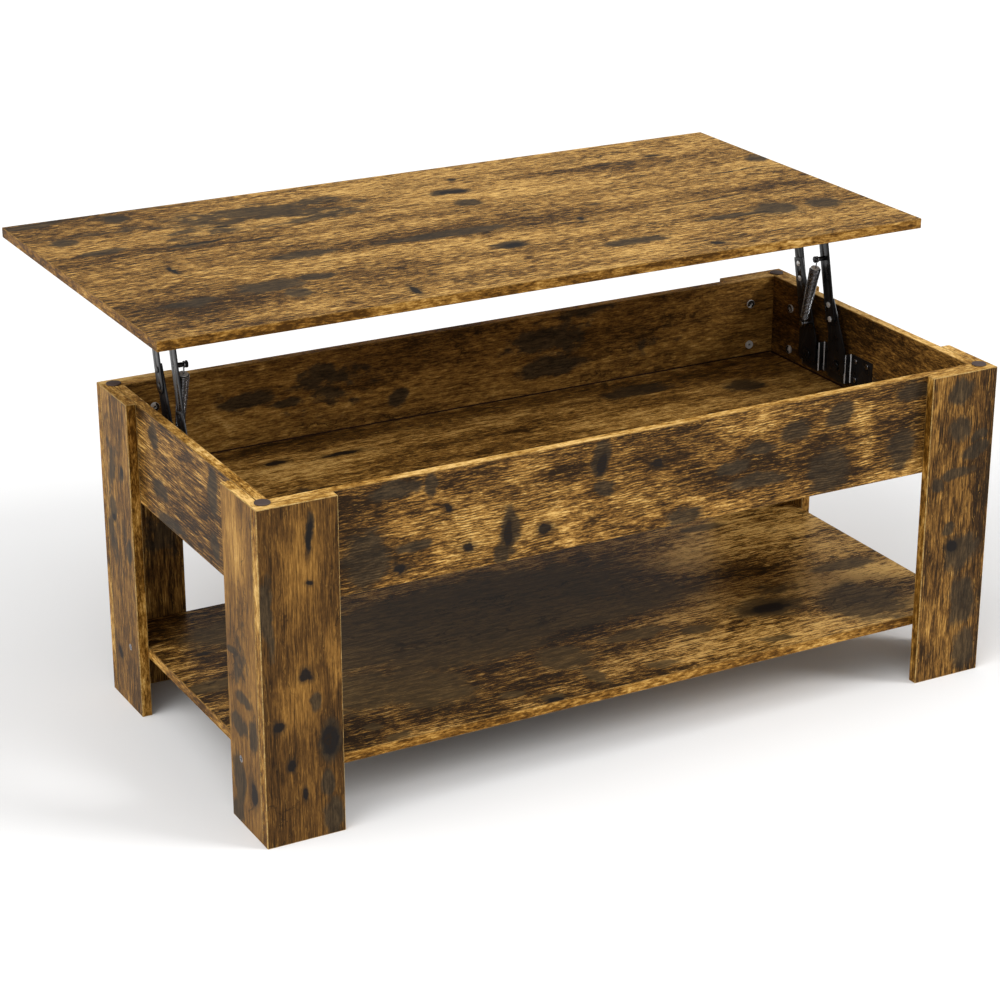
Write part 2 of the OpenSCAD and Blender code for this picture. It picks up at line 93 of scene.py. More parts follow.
BOARD_ROUND = 0.0010        # rounding along a board's edges
SEAM_SHADOW = 0.0018               # size of the dark bead of painted shadow around the box floor
STEEL_ROUND = 0.0003        # rounding along the edges of pressed steel
BEND_ROUND = 0.0012         # outside radius of the base bracket's bends
BEND_LENGTH = 0.040         # its upright edges longer than this are bends
HEAD_ROUND = 0.0005         # rounding of screw, rivet and pin heads
BOLT_ROUND = 0.0003         # rounding of the leg bolts
SOCKET_REACH = 0.0024       # faces nearer than this to a bolt's axis are its socket
PAD_ROUND = 0.0006          # rounding of the rim pads
MERGE = 1e-6                # vertices closer than this are one
ON_SIDE = 1e-5              # a point closer than this to a side lies on it
SQUARE = 0.99               # a face is square to an axis if its normal is along it by more

FLAT_ANGLE = 0.5            # degrees: faces that meet at less are one face
SHARP_ANGLE = 30            # edges sharper than this are rounded
BEND_ANGLE = 60             # edges sharper than this may be bends
BOLT_ANGLE = 40             # a bolt's edges sharper than this are rounded
SMOOTH_ANGLE = 35           # edges sharper than this stay sharp in a smooth shaded piece
WIRE_SMOOTH_ANGLE = 60      # the same for the springs

WIRE = 0.0022               # spring wire's diameter
WIRE_SIDES = 8
COIL_PITCH = 0.00245
COIL_FROM_LOWER_PIN = 0.008
COIL_FROM_UPPER_PIN = 0.015
COIL_DIAMETERS = (0.013, 0.018)     # over the wire, at the lower and at the upper end
COIL_STEPS = 14             # points on the wire in one turn
COIL_START = 0.15           # share of its radius that the coil starts and ends with
HOOK_RADIUS = 0.0039        # from a spring pin's axis to the middle of the wire
HOOK_STEPS = 18             # points on the wire round a hook
HOOK_SWEEP = 330            # degrees that a hook turns through
LOWER_HOOK_START, UPPER_HOOK_START = -60, -90
PLUG_RADIUS = 0.0068        # plate that closes a coil's upper end
PLUG_HEIGHT = 0.0012
PLUG_SIDES = 32

# ---------- node trees ----------

NOISE_SPAN = (0.3, 0.7)     # most of a noise's values lie between these


class Tree:
    """A material's node tree, with one short method for each kind of node used here."""

    def __init__(self, name, roughness=0.5, metallic=0.0, specular=0.5):
        self.material = bpy.data.materials.new(name)
        self.material.use_nodes = True
        self.nodes = self.material.node_tree.nodes
        self.shader = self.nodes["Principled BSDF"]
        self.shader.inputs["Roughness"].default_value = roughness
        self.shader.inputs["Metallic"].default_value = metallic
        self.shader.inputs["Specular IOR Level"].default_value = specular
        self.place = self.node("ShaderNodeTexCoord").outputs["Object"]

    def link(self, source, target):
        self.material.node_tree.links.new(source, target)

    def node(self, kind, values=None, **settings):
        made = self.nodes.new(kind)
        for key, value in settings.items():
            setattr(made, key, value)
        for key, value in (values or {}).items():
            if isinstance(value, bpy.types.NodeSocket):
                self.link(value, made.inputs[key])
            else:
                made.inputs[key].default_value = value
        return made

    def mapped(self, source, scale):
        return self.node("ShaderNodeMapping", {"Vector": source, "Scale": scale}).outputs["Vector"]

    def noise(self, source, scale, detail=3.0, rough=0.6, output="Fac"):
        values = {"Vector": source, "Scale": scale, "Detail": detail, "Roughness": rough}
        return self.node("ShaderNodeTexNoise", values).outputs[output]

    def grained(self, source, grain, recipe, length=1.0):
        """A noise that is drawn out along the grain."""
        stretch, *noise = recipe
        return self.noise(self.mapped(source, along(grain, stretch * length)), *noise)

    def math(self, operation, a, b=0.0):
        return self.node("ShaderNodeMath", {0: a, 1: b}, operation=operation).outputs[0]

    def vector(self, operation, a, b, output="Vector"):
        return self.node("ShaderNodeVectorMath", {0: a, 1: b}, operation=operation).outputs[output]

    def smooth(self, value, low, high, to_low=0.0, to_high=1.0):
        values = {"Value": value, "From Min": low, "From Max": high, "To Min": to_low,
                  "To Max": to_high}
        return self.node("ShaderNodeMapRange", values, interpolation_type="SMOOTHSTEP").outputs[0]

    def ramp(self, value, *stops):
        made = self.node("ShaderNodeValToRGB", {"Fac": value})
        elements = made.color_ramp.elements
        while len(elements) < len(stops):
            elements.new(0.5)
        for element, (place, colour) in zip(elements, stops):
            element.position = place
            element.color = (*colour, 1)
        return made.outputs["Color"]

    def between(self, noise, dark, pale):
        """Colours from dark to pale as a noise goes through its span."""
        return self.ramp(noise, *zip(NOISE_SPAN, (dark, pale)))

    def mix(self, factor, a, b):
        made = self.node("ShaderNodeMix", data_type="RGBA")
        for socket, value in ((0, factor), (6, a), (7, b)):
            if isinstance(value, bpy.types.NodeSocket):
                self.link(value, made.inputs[socket])
            else:
                made.inputs[socket].default_value = value if socket == 0 else (*value, 1)
        return made.outputs[2]

    def sum(self, *weighted):
        """The sum of pairs of a weight and a value."""
        total = None
        for weight, value in weighted:
            part = self.math("MULTIPLY", value, weight)
            total = part if total is None else self.math("ADD", total, part)
        return total

    def finish(self, colour, roughness=None, height=None, bump=0.2, depth=0.0001):
        self.link(colour, self.shader.inputs["Base Color"])
        if roughness is not None:
            self.link(roughness, self.shader.inputs["Roughness"])
        if height is not None:
            values = {"Height": height, "Strength": bump, "Distance": depth}
            self.link(self.node("ShaderNodeBump", values).outputs[0], self.shader.inputs["Normal"])
        return self.material


def along(grain, stretch):
    """Scale that stretches a texture along one axis."""
    return tuple(1 / stretch if axis == grain else 1.0 for axis in range(3))


def thinnest(size):
    return min(range(3), key=lambda axis: size[axis])


# ---------- wood print ----------

DEEP_BROWN = (0.018, 0.009, 0.003)
BROWN = (0.075, 0.034, 0.008)
AMBER = (0.205, 0.097, 0.020)
GOLD = (0.390, 0.205, 0.046)
PALE_GOLD = (0.640, 0.390, 0.120)
SMOKE = ((0.019, 0.0135, 0.0080), (0.072, 0.048, 0.024))       # the dark clouds' two tones
PALE_SMOKE = ((0.050, 0.031, 0.011), (0.140, 0.086, 0.033))
KNOT = (0.010, 0.008, 0.007)
TONES = (DEEP_BROWN, BROWN, AMBER, GOLD, PALE_GOLD)
TONE_PLACES = (0.0, 0.26, 0.52, 0.76, 1.0)
WOOD_SPECULAR = 0.07

# The noises in the print: how far each is drawn out along the grain, and its scale, detail
# and roughness. A board may draw the broad ones, the streaks, the fibres and the clouds out
# further.
BROAD = (3.4, 13.0, 4.0, 0.6)
STREAK = (7.0, 110.0, 4.0, 0.70)
MOTTLE = (2.6, 170.0, 3.0, 0.75)
FIBRE = (1.0, 480.0, 3.0, 0.85)
SCRATCH = (9.0, 360.0, 2.0, 0.6)
RAGGED = (2.0, 60.0, 5.0, 0.68)
CLOUD = (1.0, 8.0, 4.0, 0.55)
VEIN = (6.0, 13.0, 3.0, 0.5)
MARK_WEIGHTS = (0.95, 0.70, 0.40, 1.45)     # of the first four in the tone
TONE_GAIN = 2.1             # how strongly they change it
SHADE, GLOW = -0.26, 0.20   # shift of tone in a shade and in a glow
GRAINY = (0.7, 0.7, 0.6)    # weights of fibre, streak and mottle in the smoke and the gloss
GRAINY_GLOSS = 0.09         # how much of the roughness they make
RELIEF = (0.7, 0.5)         # weights of fibre and scratch in the bump
BUMP, BUMP_DEPTH = 0.35, 0.00025
SEED_STEPS = (1.7, 2.3, 3.1)
WOBBLE = (16.0, 5.0, 0.62)  # scale, detail and roughness of the noise that bends the grain
FINE_WARP, WIDE_WARP, SPOT_WARP = 0.016, 0.060, 0.030      # how far it does, in metres
RAGGED_GAIN = 1.5           # of the noise that frays the edges of patches and knots
SMOKE_LEVEL, SMOKE_GAIN = 0.66, 0.16        # the cloud noise above which there is smoke
SMOKE_EDGE = 0.07           # and how much more there has to be for it to be full
RAGGED_SMOKE, RAGGED_KNOTS = 0.16, 0.7      # how much the ragged noise moves their edges
SMOKE_COVER = 0.91          # how much full smoke hides
KNOT_STRETCH, KNOT_SCALE = 1.5, 13.0        # cells, of which some hold a knot
KNOT_EDGE = 9.0             # distances in a cell times this are 1 at a knot's edge
NO_KNOT = 4.0               # distance that is added in the cells without a knot
LINE_SCALE, LINE_BEND, LINE_DETAIL = 85.0, 1.5, 2.0     # sawn lines

# Each of these is where an effect starts and where it is full, in what it depends on, and,
# if there are four numbers, its amount at the two.
PLACE_FADE = (1.5, 0.3)     # of shades and glows, in distance from their middle
PATCH_FADE = (1.20, 0.70)
HALO_FADE = (2.1, 0.9, 0.0, 0.55)           # the smoky ring around a knot
KNOT_FADE = (1.15, 0.75, 0.0, 0.95)
SMOKE_TONE_FADE = (0.80, 1.30)
PALE_SCRATCH, PALE_SCRATCH_AMOUNT = (0.61, 0.70), 0.55
DARK_SCRATCH, DARK_SCRATCH_AMOUNT = (0.40, 0.31), 0.65
VEIN_FADE = (0.010, 0.002, 0.0, 0.75)
VEIN_GROUND = (0.58, 0.42)  # veins lie where the broad marks are dark
LINE_FADE = (0.50, 0.10)
LINE_GROUND = (0.40, 0.52)  # sawn lines lie where the cloud noise is high
EVERYWHERE = 10.0           # a radius that lets a spot run through a board's thickness


def spots_on(node, *spots):
    """Centres and radii of spots on a board's face, given from its low corner as the place
    across and up, the half width and the half height."""
    low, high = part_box(node)
    thickness = thinnest(high - low)
    across, up = (axis for axis in range(3) if axis != thickness)
    placed = []
    for u, v, half_u, half_v in spots:
        centre, radii = Vector(low), Vector((EVERYWHERE,) * 3)
        centre[across] += u
        centre[up] += v
        radii[across], radii[up] = half_u, half_v
        placed.append((centre, radii))
    return placed


def distance_to(tree, place, spots):
    """Distance to the nearest spot, where 1 is on its edge."""
    nearest = None
    for centre, radii in spots:
        spot = tree.node("ShaderNodeMapping", {"Vector": place, "Location": centre,
                                               "Scale": radii}, vector_type="TEXTURE")
        away = tree.vector("LENGTH", spot.outputs[0], (0, 0, 0), "Value")
        nearest = away if nearest is None else tree.math("MINIMUM", nearest, away)
    return nearest


def warp(tree, place, noise, amount):
    """Coordinates pushed about by a colour noise."""
    push = tree.vector("SUBTRACT", noise, (0.5, 0.5, 0.5))
    moved = tree.vector("MULTIPLY_ADD", push, (amount, amount, amount))
    tree.link(place, moved.node.inputs[2])
    return moved


def smoke_mask(tree, cloud, ragged, place, smoke, patches):
    """Where the dark clouds lie: scattered ones, and the placed patches."""
    edge = SMOKE_LEVEL - SMOKE_GAIN * smoke
    cloud = tree.math("ADD", cloud, tree.math("MULTIPLY", ragged, RAGGED_SMOKE))
    mask = tree.smooth(cloud, edge, edge + SMOKE_EDGE)
    if patches:
        away = tree.math("ADD", distance_to(tree, place, patches), ragged)
        mask = tree.math("MAXIMUM", mask, tree.smooth(away, *PATCH_FADE))
    return mask


def knot_distance(tree, cell_place, spot_place, ragged, knots, spots):
    """Distance to the nearest knot, scattered or placed, where 1 is on its edge."""
    cells = tree.node("ShaderNodeTexVoronoi", {"Vector": cell_place, "Scale": KNOT_SCALE})
    pick = tree.node("ShaderNodeSeparateColor", {"Color": cells.outputs["Color"]}).outputs[0]
    away = tree.math("MULTIPLY", cells.outputs["Distance"], KNOT_EDGE)
    away = tree.math("ADD", away, tree.smooth(pick, knots, knots + 0.01, 0.0, NO_KNOT))
    if spots:
        away = tree.math("MINIMUM", away, distance_to(tree, spot_place, spots))
    return tree.math("ADD", away, tree.math("MULTIPLY", ragged, RAGGED_KNOTS))


def vein_mask(tree, place, grain, broad):
    """Thin dark cracks, in the darker parts of the print only."""
    vein = tree.grained(place, grain, VEIN)
    vein = tree.math("ABSOLUTE", tree.math("SUBTRACT", vein, 0.5))
    thin = tree.smooth(vein, *VEIN_FADE)
    return tree.math("MULTIPLY", thin, tree.smooth(broad, *VEIN_GROUND))


def line_mask(tree, place, grain, cloud, lines):
    """Sawn lines along the grain, where the clouds are thick."""
    upright = next(axis for axis in (Z, Y, X) if axis != grain)
    values = {"Vector": place, "Scale": LINE_SCALE, "Distortion": LINE_BEND,
              "Detail": LINE_DETAIL}
    waves = tree.node("ShaderNodeTexWave", values, bands_direction="XYZ"[upright])
    dark = tree.math("MULTIPLY", tree.smooth(waves.outputs["Fac"], *LINE_FADE), lines)
    return tree.math("MULTIPLY", dark, tree.smooth(cloud, *LINE_GROUND))


def wood(name, grain, seed, light=0.0, contrast=1.0, length=1.0, blotchy=1.0, streaky=1.0,
         mottled=1.0, fine=1.0, drawn=4.6, smoke=0.5, smoke_stretch=2.2, smoke_tones=SMOKE,
         knots=0.3, lines=0.0, patches=(), spots=(), shades=(), glows=(), drift=None,
         roughness=0.45):
    """Rustic wood print with its grain along one axis. light shifts the tone, and on some
    boards it also holds painted shade for faces that get less light; an axis, a start, an
    end and the shift of tone between them, when given, are painted light and shade that rise
    or fall across a board as the light on it does; length draws the broad and the long marks
    out; blotchy, streaky, mottled and fine weigh the broad, long, short and finest marks;
    drawn is how long the finest ones are; smoke and knots say how much of each is scattered
    about besides the placed patches and spots; smoke_tones are the clouds' two tones; shades
    and glows are places that are darker and more golden; lines adds sawn lines."""
    tree = Tree(name, specular=WOOD_SPECULAR)
    shift = Vector(SEED_STEPS) * seed
    moved = tree.vector("ADD", tree.place, shift)
    wobble = tree.noise(moved, *WOBBLE, output="Color")
    fine_warp = warp(tree, moved, wobble, FINE_WARP)
    wide_warp = warp(tree, moved, wobble, WIDE_WARP)
    spot_warp = warp(tree, tree.place, wobble, SPOT_WARP)

    broad = tree.grained(wide_warp, grain, BROAD, length)
    streak = tree.grained(fine_warp, grain, STREAK, length)
    mottle = tree.grained(fine_warp, grain, MOTTLE)
    fibre = tree.grained(moved, grain, FIBRE, drawn)
    scratch = tree.grained(fine_warp, grain, SCRATCH)
    ragged = tree.grained(moved, grain, RAGGED)
    ragged = tree.math("MULTIPLY", tree.math("SUBTRACT", ragged, 0.5), RAGGED_GAIN)
    cloud = tree.grained(wide_warp, grain, CLOUD, smoke_stretch)
    grainy = tree.sum(*zip(GRAINY, (fibre, streak, mottle)))

    shares = (blotchy, streaky, mottled, fine)
    weights = [weight * share for weight, share in zip(MARK_WEIGHTS, shares)]
    tone = tree.sum(*zip(weights, (broad, streak, mottle, fibre)))
    tone = tree.math("SUBTRACT", tone, sum(weights) / 2)
    tone = tree.math("ADD", tree.math("MULTIPLY", tone, TONE_GAIN * contrast), 0.5 + light)
    for places, amount in ((shades, SHADE), (glows, GLOW)):
        if places:
            places = [(centre + shift, radii) for centre, radii in places]
            away = distance_to(tree, wide_warp, places)
            tone = tree.math("ADD", tone, tree.smooth(away, *PLACE_FADE, 0.0, amount))
    # painted light and shade: the tone rises or falls along an axis, as the light on the board
    # does
    if drift:
        axis, start, end, amount = drift
        place = tree.node("ShaderNodeSeparateXYZ", {"Vector": tree.place}).outputs[axis]
        tone = tree.math("ADD", tone, tree.smooth(place, start, end, 0.0, amount))
    colour = tree.ramp(tone, *zip(TONE_PLACES, TONES))
    for fade, amount, mark in ((PALE_SCRATCH, PALE_SCRATCH_AMOUNT, GOLD),
                               (DARK_SCRATCH, DARK_SCRATCH_AMOUNT, DEEP_BROWN)):
        mask = tree.smooth(scratch, *fade, 0.0, amount * contrast)
        colour = tree.mix(mask, colour, mark)

    mask = smoke_mask(tree, cloud, ragged, spot_warp, smoke, patches)
    smoke_colour = tree.mix(tree.smooth(grainy, *SMOKE_TONE_FADE), *smoke_tones)
    colour = tree.mix(tree.math("MULTIPLY", mask, SMOKE_COVER), colour, smoke_colour)

    cell_place = tree.mapped(fine_warp, along(grain, KNOT_STRETCH))
    away = knot_distance(tree, cell_place, spot_warp, ragged, knots, spots)
    colour = tree.mix(tree.smooth(away, *HALO_FADE), colour, SMOKE[0])
    colour = tree.mix(tree.smooth(away, *KNOT_FADE), colour, KNOT)

    colour = tree.mix(vein_mask(tree, wide_warp, grain, broad), colour, DEEP_BROWN)
    if lines:
        colour = tree.mix(line_mask(tree, fine_warp, grain, cloud, lines), colour, DEEP_BROWN)

    gloss = tree.math("MULTIPLY", grainy, GRAINY_GLOSS)
    gloss = tree.math("ADD", gloss, roughness - GRAINY_GLOSS)
    height = tree.sum(*zip(RELIEF, (fibre, scratch)))
    return tree.finish(colour, gloss, height, BUMP, BUMP_DEPTH)


BAND_BROAD = (3.0, 22.0, 4.0, 0.6)
BAND_MOTTLE = (3.0, 210.0, 4.0, 0.75)
BAND_FIBRE = (7.0, 480.0, 3.0, 0.7)
BAND_WEIGHTS = (0.9, 0.8, 0.6)
BAND_SEED_STEPS = (1.0, 1.3, 0.7)
BAND_TONES = ((0.055, 0.022, 0.002), (0.19, 0.084, 0.012), (0.42, 0.225, 0.048),
              (0.74, 0.48, 0.170))
BAND_TONE_PLACES = (0.0, 0.3, 0.6, 1.0)
BAND_GLOSS = (0.42, 0.55)
BAND_BUMP, BAND_BUMP_DEPTH = 0.3, 0.0002
ARRIS_WEAR = (70.0, 4.0, 0.65)      # scale, detail and roughness
ARRIS_FINE = (500.0, 3.0, 0.65)
ARRIS_WEIGHTS = (0.6, 0.4)
ARRIS_TONE_PLACES = (0.32, 0.47, 0.62)
ARRIS_GLOSS = (0.35, 0.55)


def edge_band(name, grain, seed, light, contrast):
    """Melamine edge band: a plainer run of the print along the edge."""
    tree = Tree(name, specular=WOOD_SPECULAR)
    moved = tree.vector("ADD", tree.place, Vector(BAND_SEED_STEPS) * seed)
    noises = [tree.grained(moved, grain, recipe)
              for recipe in (BAND_BROAD, BAND_MOTTLE, BAND_FIBRE)]
    fibre = noises[-1]
    tone = tree.sum(*zip(BAND_WEIGHTS, noises))
    tone = tree.math("SUBTRACT", tone, sum(BAND_WEIGHTS) / 2)
    tone = tree.math("ADD", tree.math("MULTIPLY", tone, contrast), 0.5 + light)
    colour = tree.ramp(tone, *zip(BAND_TONE_PLACES, BAND_TONES))
    gloss = tree.smooth(fibre, *NOISE_SPAN, *BAND_GLOSS)
    return tree.finish(colour, gloss, fibre, BAND_BUMP, BAND_BUMP_DEPTH)


def arris(name, *colours):
    """The thin worn line where the edge band meets the board's face."""
    tree = Tree(name, specular=WOOD_SPECULAR)
    wear = tree.noise(tree.place, *ARRIS_WEAR)
    fine = tree.noise(tree.place, *ARRIS_FINE)
    tone = tree.sum(*zip(ARRIS_WEIGHTS, (wear, fine)))
    colour = tree.ramp(tone, *zip(ARRIS_TONE_PLACES, colours))
    return tree.finish(colour, tree.smooth(wear, *NOISE_SPAN, *ARRIS_GLOSS))


# ---------- steel, rubber and other materials ----------


def patchy(name, scale, dark, pale, gloss, metallic=0.0, stretch=None, bump=0.0):
    """A material whose colour and roughness both run between two values with one noise, which
    is also its relief if bump is given."""
    tree = Tree(name, metallic=metallic)
    place = tree.mapped(tree.place, stretch) if stretch else tree.place
    noise = tree.noise(place, scale)
    height = noise if bump else None
    gloss = tree.smooth(noise, *NOISE_SPAN, *gloss)
    return tree.finish(tree.between(noise, dark, pale), gloss, height, bump)


def powder_coat():
    tree = Tree("black_powder_coat", specular=0.3)
    broad = tree.noise(tree.place, 60.0, 4.0)
    fine = tree.noise(tree.place, 2200.0, 2.0, 0.5)
    colour = tree.between(broad, (0.003, 0.003, 0.0035), (0.009, 0.009, 0.010))
    return tree.finish(colour, tree.smooth(broad, *NOISE_SPAN, 0.24, 0.40), fine, 0.25)


def zinc_plate():
    tree = Tree("zinc_plate", metallic=0.40)
    broad = tree.noise(tree.place, 300.0)
    fine = tree.noise(tree.mapped(tree.place, (1, 1, 6)), 1500.0, 2.0)
    colour = tree.between(broad, (0.66, 0.66, 0.65), (0.86, 0.86, 0.84))
    return tree.finish(colour, tree.smooth(fine, *NOISE_SPAN, 0.2, 0.36), fine, 0.12)


def seam_shade():
    """Painted shadow: the dark line of shade in the joint between the box floor and the boards
    around it.
    """
    tree = Tree("seam_shade", 0.8, specular=0.1)
    speckle = tree.noise(tree.place, 120.0)
    return tree.finish(tree.between(speckle, (0.006, 0.002, 0.001), (0.026, 0.009, 0.003)))


# ---------- meshes ----------


def cleaned(node):
    """A copy of a CAD node's mesh as a bmesh, with its vertices joined and flat faces merged."""
    mesh = bmesh.new()
    mesh.from_mesh(frame["nodes"][node].data)
    bmesh.ops.remove_doubles(mesh, verts=mesh.verts, dist=MERGE)
    bmesh.ops.dissolve_limit(mesh, angle_limit=math.radians(FLAT_ANGLE), verts=mesh.verts,
                             edges=mesh.edges)
    return mesh


def new_piece(name, mesh, body, materials, slot, smooth_angle=None):
    """Turns a bmesh into a named piece that rides on a body, if one is named."""
    mesh.normal_update()
    data = bpy.data.meshes.new(name)
    mesh.to_mesh(data)
    mesh.free()
    for material in materials:
        data.materials.append(material)
    if smooth_angle is not None:
        data.shade_smooth()
        data.set_sharp_from_angle(angle=math.radians(smooth_angle))
    piece = bpy.data.objects.new(name, data)
    bpy.context.scene.collection.objects.link(piece)
    if body:
        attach(piece, body)
    return piece


def body_of(node):
    return frame["nodes"][node]["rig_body"]


def slot_of(node):
    return next(s["material_slot"] for s in frame["record"]["subparts"] if s["node"] == node)


def on_side(value, limits):
    return next((limit for limit in limits if abs(value - limit) < ON_SIDE), None)


def on_outline(edge, low, high):
    """True if an edge runs along one of the box's twelve edges."""
    a, b = edge.verts[0].co, edge.verts[1].co
    shared = 0
    for axis in range(3):
        side = on_side(a[axis], (low[axis], high[axis]))
        if side is not None and on_side(b[axis], (side,)) is not None:
            shared += 1
    return shared == 2


def board(node, face, bands):
    """A board: its two faces in the wood print, its four edges banded, and its edges rounded.
    bands holds the edge bands that run along x, y and z, and the worn line beside them."""
    low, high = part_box(node)
    thickness = thinnest(high - low)
    mesh = cleaned(node)
    rounded(mesh, [edge for edge in mesh.edges if on_outline(edge, low, high)], BOARD_ROUND)
    mesh.normal_update()
    materials = [face, *bands]
    for f in mesh.faces:
        axis = max(range(3), key=lambda k: abs(f.normal[k]))
        middle = f.calc_center_median()
        outside = on_side(middle[axis], (low[axis], high[axis])) is not None
        if abs(f.normal[axis]) < SQUARE:
            f.material_index = len(materials) - 1
        elif axis == thickness:
            f.material_index = 0
        else:
            run = next(k for k in range(3) if k not in (axis, thickness))
            f.material_index = 1 + run if outside else 1
    piece = new_piece(node + "_board", mesh, body_of(node), materials, slot_of(node))
    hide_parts(node)


def floor_seam():
    """A thin dark bead of painted shadow along the joint between the box floor and the boards
    around it, where the joint lies in shade.
    """
    low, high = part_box("box_floor")
    mesh = bmesh.new()
    rings = []
    for inset, rise in ((0, 0), (SEAM_SHADOW, 0), (0, SEAM_SHADOW)):
        xs, ys = (low.x + inset, high.x - inset), (low.y + inset, high.y - inset)
        rings.append([mesh.verts.new((xs[i], ys[j], high.z + rise))
                      for i, j in ((0, 0), (1, 0), (1, 1), (0, 1))])
    for a, b in zip(rings, rings[1:] + rings[:1]):
        for k in range(4):
            mesh.faces.new((a[k], a[(k + 1) % 4], b[(k + 1) % 4], b[k]))
    bmesh.ops.recalc_face_normals(mesh, faces=mesh.faces)
    new_piece("floor_seam", mesh, "base", [seam_shade()], slot_of("box_floor"))


def sharp_edges(mesh, angle=SHARP_ANGLE):
    return [edge for edge in mesh.edges
            if len(edge.link_faces) == 2 and edge.calc_face_angle() > math.radians(angle)]


def rounded(mesh, edges, width):
    """Rounds edges, and gives the faces that this makes."""
    return bmesh.ops.bevel(mesh, geom=edges, offset=width, offset_type="OFFSET", segments=2,
                           profile=0.5, affect="EDGES", clamp_overlap=True)["faces"]


def is_bend(edge, low, high):
    """True if an edge of the base bracket is a fold, and not one of its ends."""
    a, b = edge.verts[0].co, edge.verts[1].co
    at_end = on_side(a.y, (low.y, high.y)) is not None
    return abs(a.z - b.z) > BEND_LENGTH and not at_end


def softened(node, width, *materials):
    """A CAD node with its sharp edges rounded. A second material, a painted highlight, goes on its
    upright folds.
    """
    mesh = cleaned(node)
    if len(materials) > 1:
        bends = [edge for edge in sharp_edges(mesh, BEND_ANGLE)
                 if is_bend(edge, *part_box(node))]
        for face in rounded(mesh, bends, BEND_ROUND):
            face.material_index = 1
    rounded(mesh, sharp_edges(mesh), width)
    piece = new_piece(node + "_detail", mesh, body_of(node), materials, slot_of(node),
                      SMOOTH_ANGLE)
    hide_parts(node)


def tube(mesh, path, radius, sides=WIRE_SIDES):
    """Sweeps a closed-ended round wire along a list of points."""
    tangents = [(path[min(i + 1, len(path) - 1)] - path[max(i - 1, 0)]).normalized()
                for i in range(len(path))]
    normal = tangents[0].orthogonal().normalized()
    rings = []
    for point, tangent in zip(path, tangents):
        normal = (normal - tangent * normal.dot(tangent)).normalized()
        other = tangent.cross(normal)
        turns = [2 * math.pi * k / sides for k in range(sides)]
        rings.append([mesh.verts.new(point + radius * (math.cos(t) * normal + math.sin(t) * other))
                      for t in turns])
    for a, b in zip(rings, rings[1:]):
        for k in range(sides):
            mesh.faces.new((a[k], a[(k + 1) % sides], b[(k + 1) % sides], b[k]))
    mesh.faces.new(list(reversed(rings[0])))
    mesh.faces.new(rings[-1])


def hook(start, along_axis, side):
    """The wire's path round a spring pin, upright; side is -1 or 1 for the way that it opens."""
    path = []
    for k in range(HOOK_STEPS + 1):
        turn = math.radians(start + HOOK_SWEEP * k / HOOK_STEPS)
        path.append(Vector((0, side * HOOK_RADIUS * math.cos(turn),
                            along_axis + side * HOOK_RADIUS * math.sin(turn))))
    return path


def coil(low, high):
    """The wire's path in the coil, which starts and ends near the spring's axis."""
    steps = round((high - low) / COIL_PITCH * COIL_STEPS)
    lower, upper = ((diameter - WIRE) / 2 for diameter in COIL_DIAMETERS)
    path = []
    for k in range(steps + 1):
        share = k / steps
        from_end = min(k, steps - k) / COIL_STEPS
        opening = COIL_START + (1 - COIL_START) * math.sin(min(from_end, 1) * math.pi / 2)
        radius = (lower + (upper - lower) * share) * min(1.0, opening)
        turn = 2 * math.pi * k / COIL_STEPS
        path.append(Vector((radius * math.cos(turn), radius * math.sin(turn),
                            low + (high - low) * share)))
    return path


def spring_path(length):
    """The wire's path from the lower hook to the upper hook, upright from the lower pin."""
    return [*hook(LOWER_HOOK_START, 0, -1),
            *coil(COIL_FROM_LOWER_PIN, length - COIL_FROM_UPPER_PIN),
            *hook(UPPER_HOOK_START, length, 1)]


def pin_axis(node):
    low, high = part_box(node)
    return (low + high) / 2


def spring(side):
    """A tapered coil spring between the two spring pins, with a hook at each end."""
    low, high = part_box(side + "_spring")
    x = (low.x + high.x) / 2
    lower, upper = pin_axis(side + "_lower_spring_pin"), pin_axis(side + "_upper_spring_pin")
    lower.x = upper.x = x
    axis = upper - lower
    mesh = bmesh.new()
    tube(mesh, spring_path(axis.length), WIRE / 2)
    plug_place = Matrix.Translation((0, 0, axis.length - COIL_FROM_UPPER_PIN))
    plug = bmesh.ops.create_cone(mesh, cap_ends=True, segments=PLUG_SIDES, radius1=PLUG_RADIUS,
                                 radius2=PLUG_RADIUS, depth=PLUG_HEIGHT, matrix=plug_place)
    for face in {f for v in plug["verts"] for f in v.link_faces}:
        face.material_index = 1
    turn = UP.rotation_difference(axis.normalized()).to_matrix().to_4x4()
    bmesh.ops.transform(mesh, matrix=Matrix.Translation(lower) @ turn, verts=mesh.verts)
    bmesh.ops.recalc_face_normals(mesh, faces=mesh.faces)
    piece = new_piece(side + "_coil_spring", mesh, None, [WIRE_BLACK, ZINC],
                      slot_of(side + "_spring"), WIRE_SMOOTH_ANGLE)
    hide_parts(side + "_spring", side + "_spring_hook")
    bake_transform(piece)


def islands(mesh):
    """The separate solids of a mesh, each as a set of vertices."""
    left = set(mesh.verts)
    while left:
        found, edge_of_search = set(), [left.pop()]
        while edge_of_search:
            vert = edge_of_search.pop()
            found.add(vert)
            for edge in vert.link_edges:
                other = edge.other_vert(vert)
                if other in left:
                    left.remove(other)
                    edge_of_search.append(other)
        yield found


def rivets(node, side):
    """Rivets whose heads are bright on the fitting's inner side and coated on its outer side."""
    mesh = cleaned(node)
    rounded(mesh, sharp_edges(mesh), HEAD_ROUND)
    outward = -1 if side == "left" else 1
    for rivet in list(islands(mesh)):
        middle = sum(v.co.x for v in rivet) / len(rivet)
        for face in {f for v in rivet for f in v.link_faces}:
            if (face.calc_center_median().x - middle) * outward > 0:
                face.material_index = 1
    piece = new_piece(node + "_detail", mesh, body_of(node), [ZINC, BLACK], slot_of(node),
                      SMOOTH_ANGLE)
    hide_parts(node)


